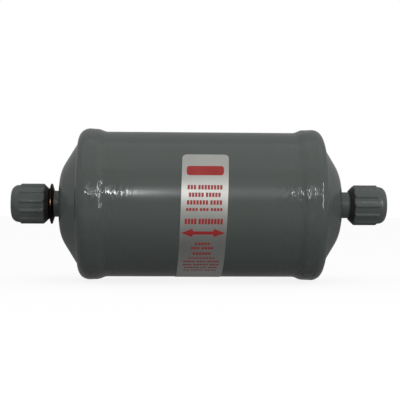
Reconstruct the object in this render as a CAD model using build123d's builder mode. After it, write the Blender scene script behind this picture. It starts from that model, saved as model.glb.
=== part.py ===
"""Bi-flow filter drier for a refrigeration liquid line, in millimetres.

A moulded desiccant core stands between two valve plates inside a steel shell. A finger spring
at the right end presses the stack against the left end cap. Each valve plate lets liquid in
through a ring valve over outer ports, and out through a caged disc over a central hole, so the
drier works in both directions. Ribbed caps close the two solder sockets until it is fitted.

X runs along the shell's axis, the left end is -X, the label faces -Y, and +Z is up. The origin
is the middle of the shell. Each end is described by an outward distance x and a radius r.
"""
from build123d import *
import os
from math import cos, radians, sin, tan

# Core and the pieces stacked on each of its ends
core_length = 96.0
core_flow_gap = 6.1
core_bore_radius = 8.0
core_chamfer = 1.5
pad_thickness = 2.0
pad_edge_gap = 10.5
screen_thickness = 0.4
screen_edge_gap = 1.5
spring_height = 3.8
spring_thickness = 0.8

# Valve plates
plate_thickness = 1.5
plate_rim_gap = 0.5
plate_bend_radius = 1.0
plate_edge_chamfer = 0.5
boss_depth = 8.0
outlet_hole_radius = 7.0
port_count = 8
port_radius = 2.6
port_boss_gap = 4.4

# Inlet ring valve and its keeper
inlet_ring_thickness = 0.8
inlet_ring_land = 1.5
inlet_lift = 1.5
guide_gap = 0.3
keeper_thickness = 0.8
keeper_hub_width = 2.6
keeper_collar_length = 2.0
keeper_finger_count = 4
keeper_finger_width = 4.0

# Outlet disc valve and its cage
outlet_disc_thickness = 1.2
outlet_disc_land = 2.5
outlet_lift = 2.5
disc_guide_gap = 0.5
cage_thickness = 0.8
cage_flange_width = 3.0
cage_window_count = 4
cage_window_width = 9.0
cage_top_hole_radius = 4.0

# Spring fingers
spring_flange_width = 2.2
spring_foot_width = 1.4
spring_finger_count = 8
spring_finger_width = 7.0

# Shell tube
shell_radius = 38.1
shell_wall = 1.5
shell_end_gap = 0.4

# Drawn end caps
cap_wall = 2.0
cap_slip_gap = 0.1
cap_corner_radius = 4.5
skirt_length = 10.4
skirt_taper = 0.5
shoulder_flat_width = 3.1
dome_angle = 32.0
dome_knuckle_radius = 20.0
dome_flat_radius = 11.0

# Weld beads
bead_width = 4.9
bead_step = 0.1
bead_bulge = 0.25

# Solder fittings
socket_radius = 4.79
socket_wall = 2.11
fitting_stand_out = 21.0
fitting_collar_width = 2.1
fitting_collar_thickness = 1.5
socket_depth = 10.0
through_bore_radius = 3.75
fitting_edge_chamfer = 0.4
braze_gap = 0.05
braze_leg = 0.8

# Ring with a V edge on the left neck
stop_ring_height = 3.65
stop_ring_width = 2.7
stop_ring_crest_width = 0.7
stop_ring_edge = 0.5
stop_ring_stand_off = 2.9

# Ribbed push-on caps
seal_cap_length = 19.6
seal_cap_wall = 2.53
seal_cap_rib_count = 12
seal_cap_rib_height = 1.1
seal_cap_rib_width = 2.0
seal_cap_rib_end_gap = 4.3
seal_cap_rib_bevel = 0.8
seal_cap_nose_radius = 4.2
seal_cap_mouth_lip = 1.0
seal_cap_mouth_chamfer = 2.7
seal_cap_end_wall = 2.3
seal_cap_bore_gap = 0.07
seal_cap_seat_gap = 1.6
rib_elevation = {-1: 7.5, 1: -2.5}

# Paper label on the shell
label_width = 23.4
label_thickness = 0.12
label_glue_thickness = 0.05
label_top_elevation = 41.2
label_wrap = 220.0
label_corner_radius = 2.4
label_centre = 0.6

stop_play = 0.1
fit_gap = 0.05

# Outward distances that follow from the stack
stack_height = pad_thickness + screen_thickness + boss_depth + plate_thickness
shoulder_inside = core_length / 2 + stack_height + spring_height / 2
shoulder_outside = shoulder_inside + cap_wall
plate_face = {-1: shoulder_inside, 1: shoulder_inside - spring_height}
core_centre = plate_face[1] - stack_height - core_length / 2
shell_end = shoulder_outside - cap_corner_radius - shell_end_gap

# Radii that follow from the shell inwards
shell_bore_radius = shell_radius - shell_wall
core_radius = shell_bore_radius - core_flow_gap
pad_radius = core_radius - pad_edge_gap
plate_radius = shell_bore_radius - plate_rim_gap

# Radii that follow from the outlet hole outwards
outlet_disc_radius = outlet_hole_radius + outlet_disc_land
cage_bore_radius = outlet_disc_radius + disc_guide_gap
cage_radius = cage_bore_radius + cage_thickness
cage_flange_radius = cage_radius + cage_flange_width
cup_radius = cage_flange_radius + guide_gap + plate_bend_radius
boss_radius = cup_radius + plate_thickness
port_pitch_radius = boss_radius + port_boss_gap + port_radius

# The skirt's radii come from the tube, and the dome starts inside the rounded shoulder
skirt_edge = shoulder_outside - skirt_length
skirt_bore_radius = shell_radius + cap_slip_gap
skirt_radius = skirt_bore_radius + cap_wall
skirt_edge_radius = skirt_radius - skirt_taper
crease_radius = skirt_radius - cap_corner_radius - shoulder_flat_width

# The dome's outer and inner knuckle arcs share one centre
knuckle_rise = dome_knuckle_radius * (1 - cos(radians(dome_angle)))
knuckle_reach = dome_knuckle_radius * sin(radians(dome_angle))
cone_width = crease_radius - dome_flat_radius - knuckle_reach
dome_apex = shoulder_outside + knuckle_rise + cone_width * tan(radians(dome_angle))
dome_inside = dome_apex - cap_wall

# Fittings and their caps
neck_radius = socket_radius + socket_wall
fitting_end = dome_apex + fitting_stand_out
stop_ring_inner = dome_apex + stop_ring_stand_off
seal_cap_bore_radius = neck_radius + seal_cap_bore_gap
seal_cap_core_radius = seal_cap_bore_radius + seal_cap_wall
seal_cap_rib_radius = seal_cap_core_radius + seal_cap_rib_height
seal_cap_bore_depth = seal_cap_length - seal_cap_end_wall
seal_cap_mouth = {
    -1: stop_ring_inner + stop_ring_width + fit_gap,
    1: fitting_end + seal_cap_seat_gap - seal_cap_bore_depth,
}

os.makedirs("parts", exist_ok=True)


def turning_plane(side):
    """Sketch plane whose x is the outward distance and whose y is the radius."""
    return Plane(origin=(0, 0, 0), x_dir=(side, 0, 0), z_dir=(0, -1, 0))


def cross_plane(side, x):
    """Plane square to the axis at the outward distance x, with its x towards the label's front."""
    return Plane(origin=(side * x, 0, 0), x_dir=(0, -1, 0), z_dir=(side, 0, 0))


def save(piece, name):
    piece.part.label = name
    export_step(piece.part, f"parts/{name}.step")


def make_shell_tube():
    """Straight seam-welded tube that the core stack slides into."""
    with BuildPart() as shell_tube:
        with BuildSketch(Plane.YZ.offset(-shell_end)):
            Circle(shell_radius)
            Circle(shell_bore_radius, mode=Mode.SUBTRACT)
        extrude(amount=2 * shell_end)
    save(shell_tube, "shell_tube")


def make_end_cap(side, end):
    """Drawn cup: skirt over the tube, rounded shoulder, and a shallow dome round the fitting."""
    hole = neck_radius + braze_gap
    knuckle_x = dome_apex - dome_knuckle_radius
    corner_x = shoulder_outside - cap_corner_radius
    corner_r = skirt_radius - cap_corner_radius
    inner_crease = crease_radius - cap_wall * tan(radians(dome_angle / 2))
    inner_corner = cap_corner_radius - cap_wall
    with BuildPart() as end_cap:
        with BuildSketch(turning_plane(side)):
            with BuildLine():
                Line((dome_apex, hole), (dome_apex, dome_flat_radius))
                outer = CenterArc((knuckle_x, dome_flat_radius), dome_knuckle_radius, 0, dome_angle)
                Line(outer @ 1, (shoulder_outside, crease_radius))
                Line((shoulder_outside, crease_radius), (shoulder_outside, corner_r))
                CenterArc((corner_x, corner_r), cap_corner_radius, 0, 90)
                Line((corner_x, skirt_radius), (skirt_edge, skirt_edge_radius))
                Line((skirt_edge, skirt_edge_radius), (skirt_edge, skirt_bore_radius))
                Line((skirt_edge, skirt_bore_radius), (corner_x, skirt_bore_radius))
                CenterArc((corner_x, corner_r), inner_corner, 0, 90)
                Line((shoulder_inside, corner_r), (shoulder_inside, inner_crease))
                inner = CenterArc(
                    (knuckle_x, dome_flat_radius), dome_knuckle_radius - cap_wall, 0, dome_angle
                )
                Line((shoulder_inside, inner_crease), inner @ 1)
                Line((dome_inside, dome_flat_radius), (dome_inside, hole))
                Line((dome_inside, hole), (dome_apex, hole))
            make_face()
        revolve(axis=Axis.X)
    save(end_cap, f"{end}_end_cap")


def make_weld_bead(side, end):
    """Round weld that fills the step between the skirt's edge and the tube."""
    crown = skirt_edge_radius - bead_step
    toe = skirt_edge - bead_width
    middle = ((skirt_edge + toe) / 2, (crown + shell_radius) / 2 + bead_bulge)
    with BuildPart() as weld_bead:
        with BuildSketch(turning_plane(side)):
            with BuildLine():
                Line((toe, shell_radius), (skirt_edge, shell_radius))
                Line((skirt_edge, shell_radius), (skirt_edge, crown))
                ThreePointArc((skirt_edge, crown), middle, (toe, shell_radius))
            make_face()
        revolve(axis=Axis.X)
    save(weld_bead, f"{end}_weld_bead")


def make_fitting(side, end):
    """Turned solder fitting: a collar inside the dome, a neck, a socket and a smaller bore."""
    inner_end = dome_inside - fitting_collar_thickness
    socket_floor = fitting_end - socket_depth
    with BuildPart() as fitting:
        with BuildSketch(turning_plane(side)):
            with BuildLine():
                Polyline(
                    (inner_end, through_bore_radius),
                    (inner_end, neck_radius + fitting_collar_width),
                    (dome_inside, neck_radius + fitting_collar_width),
                    (dome_inside, neck_radius),
                    (fitting_end - fitting_edge_chamfer, neck_radius),
                    (fitting_end, neck_radius - fitting_edge_chamfer),
                    (fitting_end, socket_radius + fitting_edge_chamfer),
                    (fitting_end - fitting_edge_chamfer, socket_radius),
                    (socket_floor, socket_radius),
                    (socket_floor, through_bore_radius),
                    close=True,
                )
            make_face()
        revolve(axis=Axis.X)
    save(fitting, f"{end}_fitting")


def make_braze_fillet(side, end):
    """Brazing alloy drawn into a hollow fillet where the neck leaves the dome."""
    with BuildPart() as braze_fillet:
        with BuildSketch(turning_plane(side)):
            with BuildLine():
                Line((dome_apex, neck_radius), (dome_apex, neck_radius + braze_leg))
                corner = (dome_apex + braze_leg, neck_radius + braze_leg)
                CenterArc(corner, braze_leg, 180, 90)
                Line((dome_apex + braze_leg, neck_radius), (dome_apex, neck_radius))
            make_face()
        revolve(axis=Axis.X)
    save(braze_fillet, f"{end}_braze_fillet")


def make_stop_ring():
    """Turned ring on the left neck whose rim comes to a narrow crest between two slopes."""
    bore = neck_radius + fit_gap
    root = bore + stop_ring_edge
    crest = bore + stop_ring_height
    outer_x = stop_ring_inner + stop_ring_width
    slope = (stop_ring_width - stop_ring_crest_width) / 2
    with BuildPart() as stop_ring:
        with BuildSketch(turning_plane(-1)):
            with BuildLine():
                Polyline(
                    (stop_ring_inner, bore),
                    (stop_ring_inner, root),
                    (stop_ring_inner + slope, crest),
                    (outer_x - slope, crest),
                    (outer_x, root),
                    (outer_x, bore),
                    close=True,
                )
            make_face()
        revolve(axis=Axis.X)
    save(stop_ring, "left_stop_ring")


def make_seal_cap(side, end):
    """Moulded push-on cap with half-round ribs, a sloped mouth and a rounded nose."""
    mouth = seal_cap_mouth[side]
    tip = mouth + seal_cap_length
    rib_end = tip - seal_cap_rib_end_gap
    rib_axis_radius = seal_cap_rib_radius - seal_cap_rib_width / 2
    with BuildPart() as seal_cap:
        with BuildSketch(cross_plane(side, mouth)):
            Circle(seal_cap_core_radius)
            with PolarLocations(
                rib_axis_radius, seal_cap_rib_count, start_angle=-side * rib_elevation[side]
            ):
                Circle(seal_cap_rib_width / 2)
        extrude(amount=seal_cap_length)
        with BuildSketch(turning_plane(side)):
            with BuildLine():
                Polyline(
                    (tip, seal_cap_core_radius - seal_cap_nose_radius),
                    (tip, 0),
                    (mouth, 0),
                    (mouth, seal_cap_bore_radius + seal_cap_mouth_lip),
                    (mouth + seal_cap_mouth_chamfer, seal_cap_rib_radius),
                    (rib_end - seal_cap_rib_bevel, seal_cap_rib_radius),
                    (rib_end, seal_cap_core_radius),
                    (tip - seal_cap_nose_radius, seal_cap_core_radius),
                )
                centre = (tip - seal_cap_nose_radius, seal_cap_core_radius - seal_cap_nose_radius)
                CenterArc(centre, seal_cap_nose_radius, 0, 90)
            make_face()
        revolve(axis=Axis.X, mode=Mode.INTERSECT)
        with BuildSketch(cross_plane(side, mouth)):
            Circle(seal_cap_bore_radius)
        extrude(amount=seal_cap_bore_depth, mode=Mode.SUBTRACT)
    save(seal_cap, f"{end}_seal_cap")


def make_label():
    """Label strip wrapped round the shell from its front, downwards and up the back."""
    middle_radius = shell_radius + label_glue_thickness + label_thickness / 2
    with BuildPart() as label:
        with BuildSketch(Plane.XZ.rotated((label_top_elevation, 0, 0))):
            with Locations((label_centre, middle_radius)):
                Rectangle(label_width, label_thickness)
        revolve(axis=Axis.X, revolution_arc=label_wrap)
        corners = label.edges().filter_by(lambda edge: edge.length < 2 * label_thickness)
        fillet(corners, label_corner_radius)
    save(label, "label")


def make_core():
    """Moulded desiccant block with a bore from end to end."""
    with BuildPart() as desiccant_core:
        with BuildSketch(Plane.YZ.offset(core_centre - core_length / 2)):
            Circle(core_radius)
        extrude(amount=core_length)
        ends = desiccant_core.edges().filter_by(GeomType.CIRCLE)
        chamfer(ends, core_chamfer)
        with BuildSketch(Plane.YZ.offset(core_centre - core_length / 2)):
            Circle(core_bore_radius)
        extrude(amount=core_length, mode=Mode.SUBTRACT)
    save(desiccant_core, "desiccant_core")


def make_core_pad(side, end):
    """Fibre pad that seals the core's end and holds back its dust."""
    pad_inner_face = plate_face[side] - stack_height
    with BuildPart() as core_pad:
        with BuildSketch(cross_plane(side, pad_inner_face)):
            Circle(pad_radius)
        extrude(amount=pad_thickness)
    save(core_pad, f"{end}_core_pad")


def make_outlet_screen(side, end):
    """Wire cloth disc between the pad and the boss of the valve plate."""
    boss_face = plate_face[side] - plate_thickness - boss_depth
    with BuildPart() as outlet_screen:
        with BuildSketch(cross_plane(side, boss_face - screen_thickness)):
            Circle(boss_radius - screen_edge_gap)
        extrude(amount=screen_thickness)
    save(outlet_screen, f"{end}_outlet_screen")


def make_valve_plate(side, end):
    """Pressed plate: a flat rim with inlet ports, and a deep boss with the outlet hole."""
    face = plate_face[side]
    back = face - plate_thickness
    bends = [plate_bend_radius, plate_bend_radius + plate_thickness]
    with BuildPart() as valve_plate:
        with BuildSketch(turning_plane(side)):
            with BuildLine():
                FilletPolyline(
                    (back, plate_radius),
                    (back, boss_radius),
                    (back - boss_depth, boss_radius),
                    (back - boss_depth, outlet_hole_radius),
                    radius=bends,
                )
                FilletPolyline(
                    (face - boss_depth, outlet_hole_radius),
                    (face - boss_depth, cup_radius),
                    (face, cup_radius),
                    (face, plate_radius - plate_edge_chamfer),
                    radius=bends,
                )
                Line((back - boss_depth, outlet_hole_radius), (face - boss_depth, outlet_hole_radius))
                Polyline(
                    (face, plate_radius - plate_edge_chamfer),
                    (face - plate_edge_chamfer, plate_radius),
                    (back, plate_radius),
                )
            make_face()
        revolve(axis=Axis.X)
        with BuildSketch(cross_plane(side, back)):
            with PolarLocations(port_pitch_radius, port_count):
                Circle(port_radius)
        extrude(amount=plate_thickness, mode=Mode.SUBTRACT)
    save(valve_plate, f"{end}_valve_plate")


def make_inlet_ring(side, end):
    """Flat ring that covers the inlet ports from the core's side and lifts off them."""
    seat = plate_face[side] - plate_thickness
    with BuildPart() as inlet_ring:
        with BuildSketch(cross_plane(side, seat - inlet_ring_thickness)):
            Circle(port_pitch_radius + port_radius + inlet_ring_land)
            Circle(boss_radius + plate_bend_radius + guide_gap, mode=Mode.SUBTRACT)
        extrude(amount=inlet_ring_thickness)
    save(inlet_ring, f"{end}_inlet_valve_ring")


def make_ring_keeper(side, end):
    """Pressed collar on the boss whose fingers stop the inlet ring at full lift."""
    stop = plate_face[side] - plate_thickness - inlet_ring_thickness - inlet_lift - stop_play
    hub_radius = boss_radius + keeper_hub_width
    tip_radius = port_pitch_radius + port_radius
    collar_radius = boss_radius + fit_gap + keeper_thickness
    with BuildPart() as ring_keeper:
        with BuildSketch(cross_plane(side, stop - keeper_thickness)):
            Circle(hub_radius)
            with PolarLocations((boss_radius + tip_radius) / 2, keeper_finger_count):
                Rectangle(tip_radius - boss_radius, keeper_finger_width)
            Circle(boss_radius + fit_gap, mode=Mode.SUBTRACT)
        extrude(amount=keeper_thickness)
        with BuildSketch(cross_plane(side, stop - keeper_thickness - keeper_collar_length)):
            Circle(collar_radius)
            Circle(boss_radius + fit_gap, mode=Mode.SUBTRACT)
        extrude(amount=keeper_collar_length)
    save(ring_keeper, f"{end}_ring_keeper")


def make_outlet_disc(side, end):
    """Flat disc that covers the outlet hole from the dome's side and lifts off it."""
    seat = plate_face[side] - boss_depth
    with BuildPart() as outlet_disc:
        with BuildSketch(cross_plane(side, seat)):
            Circle(outlet_disc_radius)
        extrude(amount=outlet_disc_thickness)
    save(outlet_disc, f"{end}_outlet_valve_disc")


def make_valve_cage(side, end):
    """Pressed hat spot-welded in the boss: its posts guide the disc and its top stops it."""
    seat = plate_face[side] - boss_depth
    under_top = seat + outlet_disc_thickness + outlet_lift + stop_play
    top = under_top + cage_thickness
    window_height = under_top - seat - cage_thickness
    with BuildPart() as valve_cage:
        with BuildSketch(turning_plane(side)):
            with BuildLine():
                Polyline(
                    (seat, cage_flange_radius),
                    (seat + cage_thickness, cage_flange_radius),
                    (seat + cage_thickness, cage_radius),
                    (top, cage_radius),
                    (top, cage_top_hole_radius),
                    (under_top, cage_top_hole_radius),
                    (under_top, cage_bore_radius),
                    (seat, cage_bore_radius),
                    close=True,
                )
            make_face()
        revolve(axis=Axis.X)
        with BuildSketch(cross_plane(side, seat + cage_thickness)):
            with PolarLocations((cage_bore_radius + cage_radius) / 2, cage_window_count):
                Rectangle(4 * cage_thickness, cage_window_width)
        extrude(amount=window_height, mode=Mode.SUBTRACT)
    save(valve_cage, f"{end}_valve_cage")


def make_core_spring():
    """Pressed ring with sloping fingers that press the right valve plate towards the core."""
    half = spring_thickness / 2
    ring_x = shoulder_inside - half
    foot_x = plate_face[1] + half
    ring_outer = plate_radius
    ring_inner = ring_outer - spring_flange_width
    foot_inner = port_pitch_radius + port_radius + half + stop_play
    foot_outer = foot_inner + spring_foot_width
    with BuildPart() as core_spring:
        with BuildSketch(turning_plane(1)):
            with BuildLine():
                Polyline(
                    (ring_x, ring_outer - half),
                    (ring_x, ring_inner),
                    (foot_x, foot_outer),
                    (foot_x, foot_inner),
                )
            trace(line_width=spring_thickness)
        revolve(axis=Axis.X)
        with BuildSketch(cross_plane(1, plate_face[1] - spring_thickness)):
            Circle(ring_inner - half)
            with PolarLocations(ring_inner / 2, spring_finger_count):
                Rectangle(ring_inner, spring_finger_width, mode=Mode.SUBTRACT)
        extrude(amount=spring_height + 2 * spring_thickness, mode=Mode.SUBTRACT)
    save(core_spring, "core_spring")


make_shell_tube()
make_core()
make_core_spring()
make_stop_ring()
make_label()
for side, end in ((-1, "left"), (1, "right")):
    make_end_cap(side, end)
    make_weld_bead(side, end)
    make_fitting(side, end)
    make_braze_fillet(side, end)
    make_seal_cap(side, end)
    make_core_pad(side, end)
    make_outlet_screen(side, end)
    make_valve_plate(side, end)
    make_inlet_ring(side, end)
    make_ring_keeper(side, end)
    make_outlet_disc(side, end)
    make_valve_cage(side, end)
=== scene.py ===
from math import cos, pi, radians, sin, tan

import bmesh
import bpy
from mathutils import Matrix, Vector


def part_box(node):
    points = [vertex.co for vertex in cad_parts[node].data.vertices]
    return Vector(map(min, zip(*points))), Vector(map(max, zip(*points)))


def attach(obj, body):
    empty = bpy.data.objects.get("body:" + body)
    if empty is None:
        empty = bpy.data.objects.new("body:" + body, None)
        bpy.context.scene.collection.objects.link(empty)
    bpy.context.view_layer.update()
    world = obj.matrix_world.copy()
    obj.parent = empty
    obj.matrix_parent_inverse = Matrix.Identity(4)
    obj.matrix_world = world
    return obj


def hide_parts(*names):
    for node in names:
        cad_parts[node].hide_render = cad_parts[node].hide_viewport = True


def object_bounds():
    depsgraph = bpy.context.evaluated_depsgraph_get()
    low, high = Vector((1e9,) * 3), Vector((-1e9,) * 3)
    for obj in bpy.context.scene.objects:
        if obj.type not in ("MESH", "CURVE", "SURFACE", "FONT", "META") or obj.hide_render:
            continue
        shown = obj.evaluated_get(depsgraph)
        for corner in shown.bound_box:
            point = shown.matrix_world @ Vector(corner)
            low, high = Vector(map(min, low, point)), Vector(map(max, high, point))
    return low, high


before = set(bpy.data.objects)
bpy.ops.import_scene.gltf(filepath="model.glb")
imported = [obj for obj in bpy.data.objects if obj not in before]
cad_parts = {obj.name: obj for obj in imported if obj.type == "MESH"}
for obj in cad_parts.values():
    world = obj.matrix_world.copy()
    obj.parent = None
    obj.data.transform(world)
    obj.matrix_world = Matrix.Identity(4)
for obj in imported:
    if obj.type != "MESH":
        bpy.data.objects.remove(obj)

cad_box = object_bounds()
MM = 0.001
ENDS = ((-1, "left"), (1, "right"))

# Camera: level with the shell's axis, a little over half a metre away, and turned so that the
# left end is nearer. The picture is taken as 400 by 400, and the small shift only frames it.
PICTURE = 400
CAMERA_DISTANCE = 0.6
CAMERA_YAW = radians(2.3)
CAMERA_ROLL = radians(0.30)
PIXELS_PER_METRE = 1889.0
AXIS_PIXEL = (199.94, 204.45)
NEAREST_SEEN = 0.01

camera_data = bpy.data.cameras.new("camera")
camera_data.lens = camera_data.sensor_width * CAMERA_DISTANCE * PIXELS_PER_METRE / PICTURE
camera_data.shift_x = (PICTURE / 2 - AXIS_PIXEL[0]) / PICTURE
camera_data.shift_y = (AXIS_PIXEL[1] - PICTURE / 2) / PICTURE
camera_data.clip_start = NEAREST_SEEN
camera = bpy.data.objects.new("camera", camera_data)
camera.location = (-CAMERA_DISTANCE * sin(CAMERA_YAW), -CAMERA_DISTANCE * cos(CAMERA_YAW), 0)
camera.rotation_euler = (pi / 2, -CAMERA_ROLL, -CAMERA_YAW)
bpy.context.scene.collection.objects.link(camera)
bpy.context.scene.camera = camera
bpy.context.scene.view_settings.view_transform = "Standard"

# Studio: a soft room, paler above than below, with a broad lamp overhead. A small lamp over the
# camera draws the streak along the paint, inside the glow of a wider one. Two more small ones
# catch the ripples at the ends, and a tall one at the right lights the rims of that end.
SKY_LEVELS = ((0.0, 0.25), (0.47, 0.30), (0.53, 0.66), (1.0, 0.80))
MIRRORED_LEVELS = ((0.0, 0.04), (0.40, 0.10), (0.50, 0.28), (0.58, 0.40), (0.75, 0.50), (1.0, 0.32))
MIRRORED_BACK_WALL = 0.31
BACK_WALL_EDGE = (0.1, 0.7)
TOP_LAMP = {"place": (0, -0.10, 0.85), "size": (1.5, 0.9), "power": 1.0}
KEY_LAMP = {"place": (-0.068, -0.66, 0.210), "size": (0.034, 0.034), "power": 0.25}
KEY_TARGET = (-0.045, 0, 0)
GLOW_LAMP = {"place": (0.045, -0.70, 0.236), "size": (0.26, 0.17), "power": 0.150}
SIDE_LAMP = {"place": (0.58, -0.74, 0.20), "size": (0.07, 0.60), "power": 2.4}
SIDE_TARGET = (0.06, 0, 0.04)
LEFT_LAMP = {"place": (-0.155, -0.66, 0.205), "size": (0.05, 0.03), "power": 0.13}
RIGHT_LAMP = {"place": (0.27, -0.66, 0.205), "size": (0.03, 0.03), "power": 0.09}
FLOOR_GREY = 0.40
FLOOR_SHADOW = 0.14
FLOOR_HALF = 3.0
FLOOR_DROP = 0.2 * MM
# Glossy rays see the floor as a glowing grey with a painted shadow, darkest just before the object.
MIRRORED_FLOOR_SPAN = (-0.15, 0.05)
MIRRORED_FLOOR = (
    (0.0, 0.36), (0.35, 0.24), (0.48, 0.15), (0.54, 0.12), (0.61, 0.16), (0.70, 0.20), (1.0, 0.14)
)


def area_lamp(name, place, size, power, target=(0, 0, 0)):
    """Rectangular lamp at a place, facing a target."""
    data = bpy.data.lights.new(name, "AREA")
    data.shape = "RECTANGLE"
    data.size, data.size_y = size
    data.energy = power
    lamp = bpy.data.objects.new(name, data)
    lamp.location = place
    lamp.rotation_euler = (Vector(target) - Vector(place)).to_track_quat("-Z", "Y").to_euler()
    bpy.context.scene.collection.objects.link(lamp)


area_lamp("top_lamp", **TOP_LAMP)
area_lamp("key_lamp", **KEY_LAMP, target=KEY_TARGET)
area_lamp("glow_lamp", **GLOW_LAMP)
area_lamp("side_lamp", **SIDE_LAMP, target=SIDE_TARGET)
area_lamp("left_lamp", **LEFT_LAMP)
area_lamp("right_lamp", **RIGHT_LAMP)


# Node helpers. A value is a number, a colour of three levels, or a (node, output) pair.
def link(tree, source, output, target, socket):
    tree.links.new(source.outputs[output], target.inputs[socket])


def feed(tree, value, target, socket):
    """Gives a socket a value."""
    if not isinstance(value, tuple):
        target.inputs[socket].default_value = value
    elif len(value) == 2:
        link(tree, *value, target, socket)
    else:
        target.inputs[socket].default_value = (*value, 1)


def maths(tree, operation, first, second=None, third=None):
    """Math node fed by up to three values."""
    node = tree.nodes.new("ShaderNodeMath")
    node.operation = operation
    for i, value in enumerate((first, second, third)):
        if value is not None:
            feed(tree, value, node, i)
    return (node, 0)


def step_up(tree, value, low, high, shape="SMOOTHSTEP"):
    """0 below low, 1 above high, and a rise between; high may be the smaller one."""
    node = tree.nodes.new("ShaderNodeMapRange")
    node.interpolation_type = shape
    for socket, item in (("Value", value), ("From Min", low), ("From Max", high)):
        feed(tree, item, node, socket)
    return (node, "Result")


def colour_mix(tree, factor, first, second):
    """Colour between two others."""
    node = tree.nodes.new("ShaderNodeMix")
    node.data_type = "RGBA"
    for socket, value in (("Factor", factor), ("A", first), ("B", second)):
        feed(tree, value, node, socket)
    return (node, 2)


def shader_mix(tree, factor, first, second):
    """Shader between two others."""
    node = tree.nodes.new("ShaderNodeMixShader")
    for i, value in enumerate((factor, first, second)):
        feed(tree, value, node, i)
    return (node, "Shader")


def place_axes(tree, space="Object"):
    """The x, y and z of a shaded point."""
    place = tree.nodes.new("ShaderNodeTexCoord")
    split = tree.nodes.new("ShaderNodeSeparateXYZ")
    link(tree, place, space, split, "Vector")
    return (split, "X"), (split, "Y"), (split, "Z")


def off_axis(tree, y, z):
    """Distance of a point from the shell's axis."""
    squares = maths(tree, "ADD", maths(tree, "MULTIPLY", y, y), maths(tree, "MULTIPLY", z, z))
    return maths(tree, "SQRT", squares)


def level_ramp(tree, levels):
    """Colour ramp through (position, grey level) stops."""
    ramp = tree.nodes.new("ShaderNodeValToRGB")
    while len(ramp.color_ramp.elements) < len(levels):
        ramp.color_ramp.elements.new(0.5)
    for element, (position, level) in zip(ramp.color_ramp.elements, levels):
        element.position = position
        element.color = (level, level, level, 1)
    return ramp


def studio_world():
    """White to the camera, a soft sky to matt surfaces, and a dimmer room to glossy ones."""
    world = bpy.data.worlds.new("studio")
    bpy.context.scene.world = world
    world.use_nodes = True
    tree = world.node_tree
    tree.nodes.clear()
    output = tree.nodes.new("ShaderNodeOutputWorld")
    path = tree.nodes.new("ShaderNodeLightPath")
    y, z = place_axes(tree, "Generated")[1:]
    height = step_up(tree, z, -1, 1, "LINEAR")
    sky = level_ramp(tree, SKY_LEVELS)
    mirrored = level_ramp(tree, MIRRORED_LEVELS)
    feed(tree, height, sky, "Fac")
    feed(tree, height, mirrored, "Fac")
    back = step_up(tree, y, *BACK_WALL_EDGE, "LINEAR")
    walls = colour_mix(tree, back, (mirrored, "Color"), (MIRRORED_BACK_WALL,) * 3)
    seen = colour_mix(tree, (path, "Is Glossy Ray"), (sky, "Color"), walls)
    room = tree.nodes.new("ShaderNodeBackground")
    feed(tree, seen, room, "Color")
    white = tree.nodes.new("ShaderNodeBackground")
    feed(tree, (1, 1, 1), white, "Color")
    straight = maths(tree, "MAXIMUM", (path, "Is Camera Ray"), (path, "Is Transmission Ray"))
    shown = shader_mix(tree, straight, (room, "Background"), (white, "Background"))
    feed(tree, shown, output, "Surface")


def floor_material():
    """Pale floor: white to the camera but for a faint shadow, light grey to matt surfaces, and
    to glossy ones a glowing grey with a painted shadow, darkest just before the object."""
    material = bpy.data.materials.new("studio_floor")
    material.use_nodes = True
    tree = material.node_tree
    tree.nodes.clear()
    output = tree.nodes.new("ShaderNodeOutputMaterial")
    path = tree.nodes.new("ShaderNodeLightPath")
    grey = tree.nodes.new("ShaderNodeBsdfDiffuse")
    feed(tree, (FLOOR_GREY,) * 3, grey, "Color")
    pale = tree.nodes.new("ShaderNodeBsdfDiffuse")
    feed(tree, (1, 1, 1), pale, "Color")
    glow = tree.nodes.new("ShaderNodeEmission")
    shown = shader_mix(tree, FLOOR_SHADOW, (glow, "Emission"), (pale, "BSDF"))
    ramp = level_ramp(tree, MIRRORED_FLOOR)
    feed(tree, step_up(tree, place_axes(tree)[1], *MIRRORED_FLOOR_SPAN, "LINEAR"), ramp, "Fac")
    mirrored = tree.nodes.new("ShaderNodeEmission")
    link(tree, ramp, "Color", mirrored, "Color")
    other = shader_mix(tree, (path, "Is Glossy Ray"), (grey, "BSDF"), (mirrored, "Emission"))
    feed(tree, shader_mix(tree, (path, "Is Camera Ray"), other, shown), output, "Surface")
    return material


studio_world()
floor_height = cad_box[0][2] - FLOOR_DROP
floor_corners = [
    (x * FLOOR_HALF, y * FLOOR_HALF, floor_height) for x, y in ((-1, -1), (1, -1), (1, 1), (-1, 1))
]
floor_mesh = bpy.data.meshes.new("floor")
floor_mesh.from_pydata(floor_corners, [], [(0, 1, 2, 3)])
floor = bpy.data.objects.new("floor", floor_mesh)
bpy.context.scene.collection.objects.link(floor)
floor.data.materials.append(floor_material())

# Shell tube: drawn steel tube under thick, glossy grey-green paint. The paint has a faint
# orange peel, a soft change of tone, and a few pale specks of dust that dried into it.
SHELL_SEGMENTS = 384
SHELL_WALL = 1.5 * MM
PAINT_TONES = ((0.065, 0.076, 0.070), (0.075, 0.087, 0.081))
PAINT_SPECK = (0.16, 0.18, 0.175)
PAINT_GLOSS = (0.17, 0.23)
HEAT_RIPPLE_HEIGHT = 0.33 * MM
HEAT_RIPPLE_SIZE = 1.6 * MM
HEAT_RIPPLE_ROUND = 0.26
HEAT_RIPPLE_SHIFT = (0.121, 0.002, 0.011)
HEAT_RIPPLE_START = 30 * MM
HEAT_RIPPLE_FULL = 46 * MM
SEAM_SHINE = 0.45
DOME_CALM_START = 58.5 * MM
DOME_CALM_FULL = 60.5 * MM
MOTTLE_RANGE = (0.3, 0.7)
SPECK_EDGE = (0.06, 0.03)
CREASE_ANGLE = radians(35)
TINY = 0.001 * MM
QUARTER_TURN = [radians(15 * k) for k in range(7)]


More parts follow.
